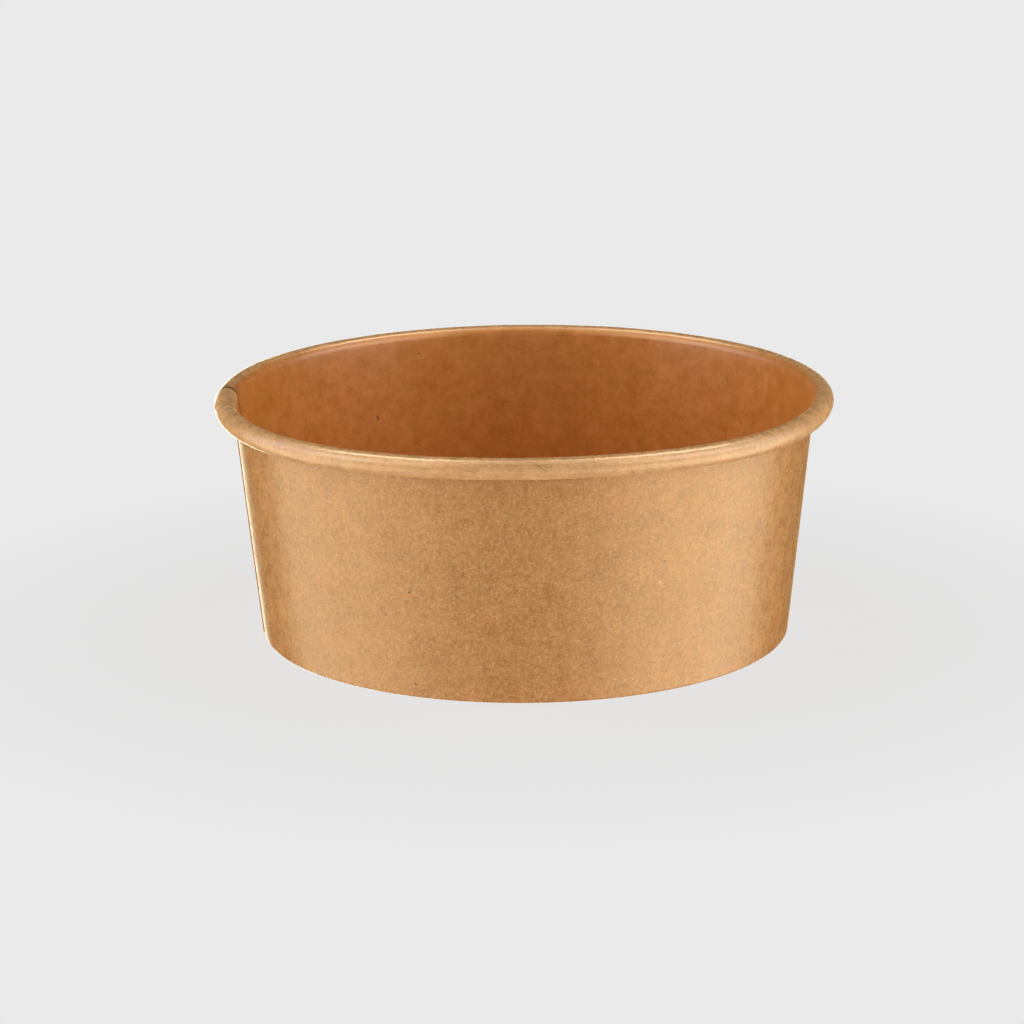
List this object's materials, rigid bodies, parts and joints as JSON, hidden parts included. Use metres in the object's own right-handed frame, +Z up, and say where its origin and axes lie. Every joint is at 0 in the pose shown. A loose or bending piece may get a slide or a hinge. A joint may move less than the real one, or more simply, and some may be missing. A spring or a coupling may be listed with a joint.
{
  "type": "paper salad bowl",
  "caption": "Round kraft board salad bowl with a rolled rim, a slightly flared wall lapped at a side seam, and a recessed bottom held in a folded foot.",
  "frame": {"origin": "centre of the foot, on the surface that the bowl stands on", "axes": "+Z up along the bowl's axis; -Y towards the picture's camera; +X to the picture's right"},
  "size_m": [0.1502, 0.15, 0.0602],
  "materials": {
    "wall_board": "unbleached kraft board, matt outside, clear coated inside",
    "bottom_board": "unbleached kraft board, clear coated inside"
  },
  "bodies": {
    "root": {"side_wall": "wall_board", "bottom_disc": "bottom_board"}
  },
  "joints": []
}
